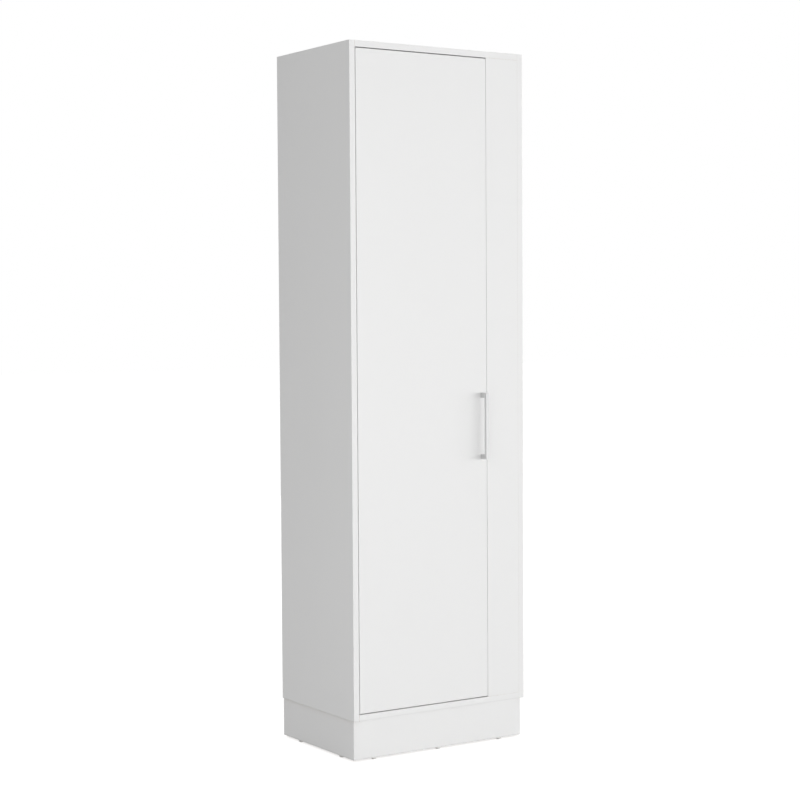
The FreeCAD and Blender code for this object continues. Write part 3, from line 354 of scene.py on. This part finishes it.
def screw_tree():
    """Pan-head screws: a domed head with a cross recess, a ribbed shank for the thread and a point."""
    inlet = tree_of("cross_head_screws", "Head", "Shank", "Length", "Crown")
    head, shank, length, crown = (inlet[title] for title in ("Head", "Shank", "Length", "Crown"))
    rows = [(0.0, crown * -1.0)]
    dome_steps = 6
    dome_share = 0.72
    for step in range(1, dome_steps + 1):
        turn = math.radians(90 * step / dome_steps)
        rows.append((head * (0.5 * math.sin(turn)), crown * (dome_share - 1 - dome_share * math.cos(turn))))
    outer = shank * 0.5
    root = shank * 0.37
    rows += [(head * 0.5, crown * -0.06), (head * 0.48, 0.0), (outer, 0.0), (outer, length * 0.12),
             (root, length * 0.13)]
    threads = 7
    first_thread = 0.16
    threaded = 0.62
    for rib in range(threads):
        at = first_thread + threaded * rib / (threads - 1)
        rows += [(outer, length * at), (root, length * (at + 0.05))]
    rows += [(shank * 0.34, length * 0.86), (0.0, length)]
    recess = cross_cutters(head, length=head * 0.56, width=head * 0.13, depth=crown * 1.3,
                           height=crown * -1.0)
    return strewn(inlet, carved(turned(head, rows, sides=20), *recess), spin=math.tau)


screws = screw_tree()


def driven(name, body, places, node, head, shank, length):
    """A group of cross-head screws in place of its plain node."""
    sizes = {"Head": head, "Shank": shank, "Length": length, "Crown": 0.0024}
    settle(name, grown(screws, places, plated, sizes), body, "plated_steel", node)


moulded_round = 0.0006
short_edge = 0.003
settle("moulded_corner_blocks", softened("plinth_corner_blocks", plastic, moulded_round, short_edge),
       "carcass", "white_plastic", "plinth_corner_blocks")
plinth_front, plinth_rear, plinth_left, plinth_right = (
    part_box(f"plinth_{end}_board") for end in ("front", "rear", "left", "right"))
inside_x = (plinth_left[1].x, plinth_right[0].x)
inside_y = (plinth_front[1].y, plinth_rear[0].y)
block_seat = 0.009
block_near = 0.008
block_far = 0.022
block_seats = (((block_seat, block_far, -block_near), (-1, 0, 0)),
               ((block_far, block_seat, -block_far), (0, -1, 0)),
               ((block_near, block_near, -block_seat), (0, 0, 1)))
block_screws = []
for quarter, (side, end) in enumerate(((0, 0), (1, 0), (1, 1), (0, 1))):
    corner = (inside_x[side], inside_y[end], plinth_front[1].z)
    turn = Matrix.Translation(corner) @ Matrix.Rotation(math.radians(90 * quarter), 4, "Z")
    block_screws += [(turn @ Vector(seat), turn.to_3x3() @ Vector(aim)) for seat, aim in block_seats]
driven("block_cross_screws", "carcass", block_screws, "plinth_block_screws",
       head=0.0075, shank=0.004, length=0.02)

# Floor glides: ten small feet of hard white plastic on steel nails, hammered into the plinth's lower edges.
# Each foot is a shallow dome with a flat sole, so the cupboard slides without marking the floor.

glide_sizes = {"Sole": 0.01, "Foot": 0.014, "Height": 0.005, "Nail": 0.002, "Reach": 0.02}
glide_finish, shader, place = finish("glide_plastic_and_nail")
rise = place.axes()[2]
on_nail = rise.fade(glide_sizes["Height"] + 0.00005, glide_sizes["Height"] + 0.00015)
on_sole = 1 - rise.fade(0.0, 0.0012)
scuff = place.noise(900, 3, 0.6)
scuffed_grey = (0.52, 0.51, 0.49)
worn = (scuff * on_sole).fade(0.2, 0.7).mix(plastic_white, scuffed_grey)
on_nail.mix(worn, zinc_blue).feed(shader, "Base Color")
on_nail.feed(shader, "Metallic")
(0.34 + 0.2 * scuff * on_sole + 0.06 * scuff).feed(shader, "Roughness")
relief(shader, scuff, depth=0.00005, strength=0.4)

inlet = tree_of("nail_on_glides", *glide_sizes)
sole, foot, height, nail, reach = (inlet[title] for title in glide_sizes)
rows = [(0.0, 0.0), (sole * 0.5, 0.0)]
dome_steps = 5
dome_share = 0.7
for step in range(1, dome_steps + 1):
    turn = math.radians(90 * step / dome_steps)
    rows.append((sole * (0.5 - 0.5 * math.sin(turn)) + foot * (0.5 * math.sin(turn)),
                 height * (dome_share * (1 - math.cos(turn)))))
rows += [(foot * 0.5, height * 0.94), (foot * 0.485, height), (nail * 0.5, height),
         (nail * 0.5, reach - nail), (0.0, reach)]
glides = strewn(inlet, turned(sole, rows, sides=28))


def middle(box):
    return (box[0] + box[1]) / 2


front_glide_end = 0.065
side_glide_front = 0.071
side_glide_rear = 0.079
feet = [((x, middle(board).y, 0), (0, 0, 1)) for board in (plinth_front, plinth_rear)
        for x in (plinth_front[0].x + front_glide_end, 0, plinth_front[1].x - front_glide_end)]
feet += [((middle(board).x, y, 0), (0, 0, 1)) for board in (plinth_left, plinth_right)
         for y in (plinth_front[0].y + side_glide_front, plinth_rear[1].y - side_glide_rear)]
settle("domed_floor_glides", grown(glides, feet, glide_finish, glide_sizes), "carcass", "white_plastic",
       "floor_glides")

# Carcass boards: sides, bottom, top, fixed shelf and the filler beside the door, all 16 mm melamine board.
# Front edges are banded; rear edges behind the back panel and the feet of the sides are bare chipboard.

left_end = (0, 0)
right_end = (0, 1)
rear_edge = (1, 1)
upper_edge = (2, 1)
# The sides and the bottom panel get painted shade along their lowest few millimetres, where they sit over
# the plinth.
for board in ("left_side_panel", "right_side_panel"):
    dress(board, melamine(board, rear_edge, lower_edge, painted_shade=0.04))
for board, painted_shade in (("bottom_panel", 0.05), ("top_panel", 0.0), ("fixed_shelf", 0.0)):
    dress(board, melamine(board, rear_edge, left_end, right_end, painted_shade=painted_shade))
dress("filler_panel", melamine("filler_panel", right_end, lower_edge, upper_edge))

# Joints of the boards: cast zinc cam locks turned with a cross driver, plated bolts, fluted beech dowels.
# The cams sit in blind bores under each level and behind the filler; the bolts and dowels stay hidden.

zinc_dark = (0.46, 0.47, 0.48)
zinc_grey = (0.56, 0.57, 0.58)
cast, shader, place = finish("bare_zinc_casting", Metallic=1.0)
frost = place.noise(1500, 3, 0.6)
flow = place.noise(240, 2)
flow.fade(0.3, 0.7).mix(zinc_dark, zinc_grey).feed(shader, "Base Color")
(0.42 + 0.18 * frost).feed(shader, "Roughness")
relief(shader, frost, depth=0.00006, strength=0.6)

left_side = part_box("left_side_panel")
right_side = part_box("right_side_panel")
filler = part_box("filler_panel")
tiers = [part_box(board) for board in ("bottom_panel", "fixed_shelf", "top_panel")]
side_front = left_side[0].y
side_rear = left_side[1].y
inner_faces = ((-1, left_side[1].x), (1, right_side[0].x))
thickness = right_side[1].x - right_side[0].x

cam_setback = 0.003
cam_sizes = {"Diameter": 0.015, "Depth": thickness - cam_setback, "Bolt Level": thickness / 2,
             "Bolt Way": 0.0076}
inlet = tree_of("cam_locks", *cam_sizes)
width, deep, bolt_level, bolt_way = (inlet[title] for title in cam_sizes)
rows = [(0.0, 0.0), (width * 0.48, 0.0), (width * 0.5, deep * 0.025), (width * 0.5, deep * 0.975),
        (width * 0.48, deep), (0.0, deep)]
way = width.node("GeometryNodeMeshCylinder", {},
                 {"Vertices": 24, "Radius": bolt_way * 0.5, "Depth": width * 0.8}, "Mesh")
way_place = width.node("ShaderNodeCombineXYZ", {}, {"X": width * 0.2, "Z": bolt_level})
way = width.node("GeometryNodeTransform", {},
                 {"Geometry": way, "Translation": way_place, "Rotation": (0, math.pi / 2, 0)})
arrow = width.node("GeometryNodeMeshCone", {},
                   {"Vertices": 3, "Radius Top": width * 0.07, "Radius Bottom": width * 0.09,
                    "Depth": deep * 0.12}, "Mesh")
arrow_place = width.node("ShaderNodeCombineXYZ", {}, {"X": width * 0.37, "Z": deep * -0.06})
arrow = width.node("GeometryNodeTransform", {},
                   {"Geometry": arrow, "Translation": arrow_place, "Rotation": (0, 0, math.pi)})
slots = cross_cutters(width, length=width * 0.5, width=width * 0.11, depth=deep * 0.5, height=0.0)
cams = strewn(inlet, carved(turned(width, rows, sides=40), *slots, arrow, way))

cam_reach = 0.024
cam_from_edge = 0.06
filler_cam_end = 0.2
locks = [((face - side * cam_reach, y, tier[0].z), (0, 0, 1), (side, 0, 0)) for tier in tiers
         for y in (side_front + cam_from_edge, side_rear - cam_from_edge) for side, face in inner_faces]
locks += [((filler[1].x - cam_reach, filler[1].y, z), (0, -1, 0), (1, 0, 0))
          for z in (filler[0].z + filler_cam_end, middle(filler).z, filler[1].z - filler_cam_end)]
settle("cross_slot_cam_locks", grown(cams, locks, cast, cam_sizes), "carcass", "zinc_casting", "cam_locks")
dress("cam_bolts", plated)

beech_dark = (0.50, 0.33, 0.18)
beech_pale = (0.68, 0.49, 0.30)
beech, shader, place = finish("beech_dowel")
pores = place.noise(700, 4, 0.65)
flecks = place.noise(260, 3)
(0.7 * flecks + 0.3 * pores).fade(0.3, 0.7).mix(beech_dark, beech_pale).feed(shader, "Base Color")
(0.6 + 0.2 * pores).feed(shader, "Roughness")
relief(shader, pores, depth=0.00008, strength=0.6)

dowel_sizes = {"Diameter": 0.008, "Length": 0.03, "Chamfer": 0.001}
inlet = tree_of("fluted_dowels", *dowel_sizes)
thick, long, taper = (inlet[title] for title in dowel_sizes)
rows = [(0.0, 0.0), (thick * 0.5 - taper, 0.0), (thick * 0.5, taper), (thick * 0.5, long - taper),
        (thick * 0.5 - taper, long), (0.0, long)]
flutes = 16
flute_share = 0.035
at = thick.node("GeometryNodeInputPosition")
across, over, _ = at.axes()
angle = at.maths("ARCTAN2", over, across) * flutes
groove = 1 - flute_share * (1 - angle.maths("COSINE", angle))
squeeze = thick.node("ShaderNodeCombineXYZ", {}, {"X": groove, "Y": groove, "Z": 1.0})
fluted = thick.node("GeometryNodeSetPosition", {},
                    {"Geometry": turned(thick, rows, sides=2 * flutes), "Position": at * squeeze})
dowels = strewn(inlet, fluted)

dowel_seat = 0.01
dowel_from_cam = 0.032
dowel_from_edge = cam_from_edge + dowel_from_cam
filler_dowel_edge = 0.025
plinth_dowel_low = 0.03
plinth_dowel_drop = 0.042
tier_levels = [middle(tier).z for tier in tiers]
pegs = [((face + side * dowel_seat, y, z), (-side, 0, 0)) for z in tier_levels
        for y in (side_front + dowel_from_edge, side_rear - dowel_from_edge) for side, face in inner_faces]
for x in (filler[0].x + filler_dowel_edge, filler[1].x - filler_dowel_edge):
    pegs += [((x, middle(filler).y, filler[0].z - dowel_seat), (0, 0, 1)),
             ((x, middle(filler).y, filler[1].z + dowel_seat), (0, 0, -1))]
for x in (middle(plinth_left).x, 0, middle(plinth_right).x):
    for z in (plinth_front[0].z + plinth_dowel_low, plinth_front[1].z - plinth_dowel_drop):
        pegs += [((x, inside_y[0] - dowel_seat, z), (0, 1, 0)),
                 ((x, inside_y[1] + dowel_seat, z), (0, -1, 0))]
settle("fluted_beech_dowels", grown(dowels, pegs, beech, dowel_sizes), "carcass", "beech", "wood_dowels")

# Back panel: one sheet of 3 mm hardboard, lacquered white inside and left brown outside, where the press
# screen has printed its weave. Flat-headed nails hold it to the rear edges of the boards.

fibre_dark = (0.20, 0.115, 0.06)
fibre_pale = (0.37, 0.235, 0.135)
lacquer_white = (0.85, 0.85, 0.84)
screen_pitch = 0.0014
hardboard, shader, place = finish("hardboard_white_inside")
low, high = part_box("back_panel")
x, y, z = place.axes()
outside = (y - low.y).fade(0.0004, 0.0006)
fibre = place.noise(700, 5, 0.7)
blotch = place.noise(18, 4, 0.6)
raw = (0.65 * fibre + 0.35 * blotch).fade(0.3, 0.7).mix(fibre_dark, fibre_pale)
lacquer = (1.0 - 0.02 * place.noise(6, 3)) * lacquer_white
outside.mix(lacquer, raw).feed(shader, "Base Color")
(0.34 + 0.1 * fibre + 0.4 * outside).feed(shader, "Roughness")
warp = x * (math.tau / screen_pitch)
weft = z * (math.tau / screen_pitch)
weave = warp.maths("SINE", warp) * weft.maths("SINE", weft)
printed = outside * (0.5 + 0.3 * weave + 0.5 * fibre)
smooth = (1 - outside) * 0.15 * fibre
relief(shader, printed + smooth, depth=0.00012, strength=0.6)
dress("back_panel", hardboard)

nail_sizes = {"Head": 0.004, "Thickness": 0.0008, "Shank": 0.0016, "Length": 0.018}
inlet = tree_of("panel_nails", *nail_sizes)
head, flat, shank, length = (inlet[title] for title in nail_sizes)
rows = [(0.0, 0.0), (head * 0.42, 0.0), (head * 0.5, flat * 0.3), (head * 0.5, flat), (shank * 0.5, flat),
        (shank * 0.5, length - shank), (0.0, length)]
nails = strewn(inlet, turned(head, rows, sides=20))

nail_margin = 0.06
side_nails = 10
first_nail = left_side[0].z + nail_margin
nail_step = (left_side[1].z - nail_margin - first_nail) / (side_nails - 1)
pins = [((face + side * thickness / 2, high.y, first_nail + nail_step * row), (0, -1, 0))
        for row in range(side_nails) for side, face in inner_faces]
pins += [((x, high.y, z), (0, -1, 0)) for z in tier_levels
         for x in (left_side[1].x + nail_margin, 0, right_side[0].x - nail_margin)]
settle("flat_head_nails", grown(nails, pins, plated, nail_sizes), "carcass", "plated_steel", "back_nails")

# Wall brackets: two small angles of folded zinc-plated strip under the top, each with one screw upwards.
# A hole in the rear leg takes the screw that holds the tall cupboard to a wall.

pressed_round = 0.0003
strip = 0.002
bracket_reach = 0.015
bracket_screws = []
for hand in ("left", "right"):
    node = f"wall_bracket_{hand}"
    settle(f"folded_bracket_{hand}", softened(node, plated, pressed_round), "carcass", "plated_steel", node)
    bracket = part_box(node)
    seat = (middle(bracket).x, bracket[1].y - bracket_reach, bracket[1].z - strip)
    bracket_screws.append((seat, (0, 0, 1)))
driven("bracket_cross_screws", "carcass", bracket_screws, "wall_bracket_screws",
       head=0.0065, shank=0.004, length=0.013)

# Door: one flush panel of the same 16 mm melamine board, banded on all four edges.
# It lies inside the carcass with a shadow gap all round and swings on the hinges at its left edge.

dress("door_panel", melamine("door_panel"))

# Handle: a slim square bar of brushed satin metal on two posts, held by two screws from inside the door.
# The brushing runs along the bar, and the posts are cut from the same stock.

satin_dark = (0.64, 0.64, 0.645)
satin_pale = (0.74, 0.74, 0.74)
brushed, shader, place = finish("brushed_handle_metal", Metallic=1.0)
strokes = (place * (5200, 5200, 70)).noise(1.0, 3, 0.6)
broad = (place * (900, 900, 9)).noise(1.0, 2)
(0.5 * strokes + 0.5 * broad).fade(0.25, 0.75).mix(satin_dark, satin_pale).feed(shader, "Base Color")
(0.27 + 0.14 * strokes + 0.05 * broad).feed(shader, "Roughness")
relief(shader, strokes, depth=0.00003, strength=0.5)
for node in ("handle_bar", "handle_upper_post", "handle_lower_post"):
    dress(node, brushed)
door_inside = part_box("door_panel")[1].y
posts = [middle(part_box(node)) for node in ("handle_lower_post", "handle_upper_post")]
driven("handle_cross_screws", "door", [((post.x, door_inside, post.z), (0, -1, 0)) for post in posts],
       "handle_screws", head=0.008, shank=0.004, length=0.025)

# Hinges: four concealed hinges of nickel-plated steel. A cup is let into the door, a cranked arm turns in
# it on one pin, and the arm is clamped to a winged plate screwed to the left side.

nickel_dark = (0.68, 0.665, 0.63)
nickel_pale = (0.75, 0.735, 0.70)
nickel, shader, place = finish("nickel_plated_steel", Metallic=1.0)
haze = place.noise(130, 3)
rubbed = (place * (1, 0.25, 1)).noise(1600, 3, 0.6)
haze.fade(0.3, 0.7).mix(nickel_dark, nickel_pale).feed(shader, "Base Color")
(0.17 + 0.12 * rubbed + 0.06 * haze).feed(shader, "Roughness")
relief(shader, rubbed, depth=0.000015, strength=0.4)

hinges = 4
ear_inset = 0.013
ear_rise = 0.024
plate_line = 0.0525
plate_rise = 0.016
plate_thickness = 0.002
arm_depth = 0.0085
arm_screw_setbacks = (0.038, 0.012)
cup_screws = []
plate_screws = []
arm_screws = []
for number in range(1, hinges + 1):
    for form, body in (("cup", "door"), ("arm", "carcass"), ("plate", "carcass")):
        node = f"hinge_{number}_{form}"
        settle(f"{node}_pressing", softened(node, nickel, pressed_round), body, "nickel_steel", node)
    cup, arm, plate = (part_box(f"hinge_{number}_{form}") for form in ("cup", "arm", "plate"))
    level = middle(cup).z
    cup_screws += [((cup[1].x - ear_inset, cup[1].y, level + rise), (0, -1, 0))
                   for rise in (-ear_rise, ear_rise)]
    plate_screws += [((plate[0].x + plate_thickness, side_front + plate_line, level + rise), (-1, 0, 0))
                     for rise in (-plate_rise, plate_rise)]
    arm_screws += [((arm[0].x + arm_depth, arm[1].y - setback, level), (-1, 0, 0))
                   for setback in arm_screw_setbacks]
dress("hinge_pins", nickel)
driven("hinge_cup_cross_screws", "door", cup_screws, "hinge_cup_screws",
       head=0.007, shank=0.0035, length=0.011)
driven("hinge_plate_cross_screws", "carcass", plate_screws, "hinge_plate_screws",
       head=0.009, shank=0.005, length=0.013)
driven("hinge_arm_cross_screws", "carcass", arm_screws, "hinge_arm_screws",
       head=0.008, shank=0.004, length=0.008)

# Catch: a moulded housing with a ferrite magnet under the top panel, and a plated strike on the door.
# Two small screws hold each half; the magnet's face stops just short of the strike.

settle("moulded_catch_housing", softened("catch_housing", plastic, moulded_round), "carcass",
       "white_plastic", "catch_housing")
ferrite_dark = (0.045, 0.045, 0.05)
ferrite_pale = (0.10, 0.10, 0.105)
ferrite, shader, place = finish("sintered_ferrite", IOR=1.9)
specks = place.noise(3200, 2)
smudge = place.noise(300, 3)
(0.6 * specks + 0.4 * smudge).fade(0.3, 0.7).mix(ferrite_dark, ferrite_pale).feed(shader, "Base Color")
(0.5 + 0.2 * specks).feed(shader, "Roughness")
relief(shader, specks, depth=0.00004, strength=0.6)
dress("catch_magnet", ferrite)
settle("rounded_strike_plate", softened("strike_plate", plated, pressed_round), "door", "plated_steel",
       "strike_plate")

small_screw = {"head": 0.0065, "shank": 0.0035, "length": 0.011}
catch_ear = 0.003
catch_screw_setback = 0.016
catch_screw_out = 0.0225
strike_screw_out = 0.017
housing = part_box("catch_housing")
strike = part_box("strike_plate")
catch_screws = [((middle(housing).x + out, housing[0].y + catch_screw_setback, housing[1].z - catch_ear),
                 (0, 0, 1)) for out in (-catch_screw_out, catch_screw_out)]
strike_screws = [((middle(strike).x + out, strike[1].y, middle(strike).z), (0, -1, 0))
                 for out in (-strike_screw_out, strike_screw_out)]
driven("catch_cross_screws", "carcass", catch_screws, "catch_screws", **small_screw)
driven("strike_cross_screws", "door", strike_screws, "strike_screws", **small_screw)

# Studio: a plain white floor that keeps the contact shadow, an even white surround, a broad soft lamp at
# the front right, of which metal mirrors a part, and three weaker fills that no metal mirrors.
# The camera stands where the photograph was taken from.

floor_reach = 30
stage_floor = bpy.data.meshes.new("floor")
sheet = bmesh.new()
bmesh.ops.create_grid(sheet, x_segments=1, y_segments=1, size=floor_reach)
sheet.to_mesh(stage_floor)
sheet.free()
floor = bpy.data.objects.new("floor", stage_floor)
bpy.context.scene.collection.objects.link(floor)


def seen(start):
    """1 on rays that go straight to the eye, or by way of metal or glass."""
    camera, glossy, through = (start.node("ShaderNodeLightPath", output=title)
                               for title in ("Is Camera Ray", "Is Glossy Ray", "Is Transmission Ray"))
    return camera.most(glossy).most(through)


floor_grey = (0.62, 0.62, 0.62)
floor_glow = 0.76
paper = bpy.data.materials.new("white_floor")
paper.use_nodes = True
paper_tree = paper.node_tree
paper_tree.nodes.remove(paper_tree.nodes["Principled BSDF"])
start = Wire(paper_tree)
matt = start.node("ShaderNodeBsdfDiffuse", {}, {"Color": floor_grey})
glow = start.node("ShaderNodeEmission", {}, {"Color": (1, 1, 1), "Strength": seen(start) * floor_glow})
lit = start.node("ShaderNodeAddShader", {}, {0: matt, 1: glow})
lit.feed(paper_tree.nodes["Material Output"], "Surface")
stage_floor.materials.append(paper)

ambient = 0.45
surround = bpy.data.worlds.new("white_surround")
bpy.context.scene.world = surround
surround.use_nodes = True
backdrop = surround.node_tree.nodes["Background"]
backdrop.inputs["Color"].default_value = (1, 1, 1, 1)
(ambient + (1 - ambient) * seen(Wire(surround.node_tree))).feed(backdrop, "Strength")

front_place = (5.4, -7.35, 1.3)
front_size = (15.0, 2.6)
lamps = (("broad_lamp", front_place, front_size, 374, False),
         ("mirrored_glow", front_place, front_size, 308, True),
         ("near_fill", (-2.1, -2.0, 0.9), (1.9, 1.9), 16.5, False),
         ("overhead_fill", (0.0, 0.0, 4.6), (1.6, 1.6), 25, False),
         ("rear_fill", (2.4, 6.0, 1.6), (4.0, 3.0), 90, False))
lit_point = Vector((0, -0.1, 0.95))
for name, place, (width, height), watts, mirrored in lamps:
    soft = bpy.data.lights.new(name, "AREA")
    soft.shape = "RECTANGLE"
    soft.size = width
    soft.size_y = height
    soft.energy = watts
    lamp = bpy.data.objects.new(name, soft)
    bpy.context.scene.collection.objects.link(lamp)
    lamp.location = place
    lamp.rotation_euler = (lit_point - lamp.location).to_track_quat("-Z", "Y").to_euler()
    lamp.visible_camera = False
    lamp.visible_glossy = mirrored

eye_place = (-2.6718, -4.0774, 1.1224)
eye_tilt = 87.36645
eye_roll = 0.34766
eye_turn = -33.13992
eye = bpy.data.cameras.new("eye")
eye.sensor_width = 36.0
eye.lens = 83.317
viewer = bpy.data.objects.new("eye", eye)
bpy.context.scene.collection.objects.link(viewer)
viewer.location = eye_place
viewer.rotation_euler = [math.radians(angle) for angle in (eye_tilt, eye_roll, eye_turn)]
bpy.context.scene.camera = viewer
bpy.context.scene.view_settings.view_transform = "Standard"
